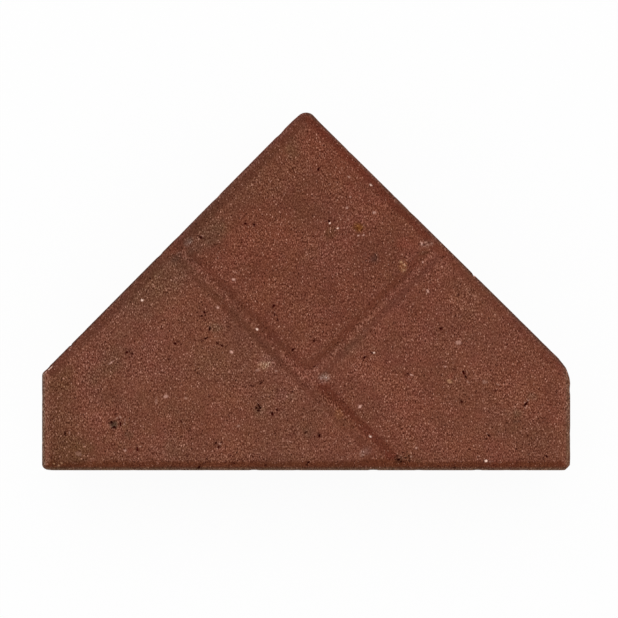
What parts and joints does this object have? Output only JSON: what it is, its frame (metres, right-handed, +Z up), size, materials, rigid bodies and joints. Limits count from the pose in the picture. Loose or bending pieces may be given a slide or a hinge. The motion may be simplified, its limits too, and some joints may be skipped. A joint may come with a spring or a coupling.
{
  "type": "concrete paving stone",
  "caption": "Mitre-shaped edge stone for herringbone paving, pressed from concrete in one piece, with dummy joints that part its face into sloped-edge fields.",
  "frame": {"origin": "on the underside, under the middle of the stone's overall width and depth", "axes": "+X along the straight base, +Y from the base to the square tip, +Z up from the bed to the walked-on face"},
  "size_m": [0.296, 0.2005, 0.08],
  "materials": {
    "concrete": "matte pressed concrete, red-brown all through, with fine grit and small pores"
  },
  "bodies": {
    "root": {"paving_stone": "concrete"}
  },
  "joints": []
}
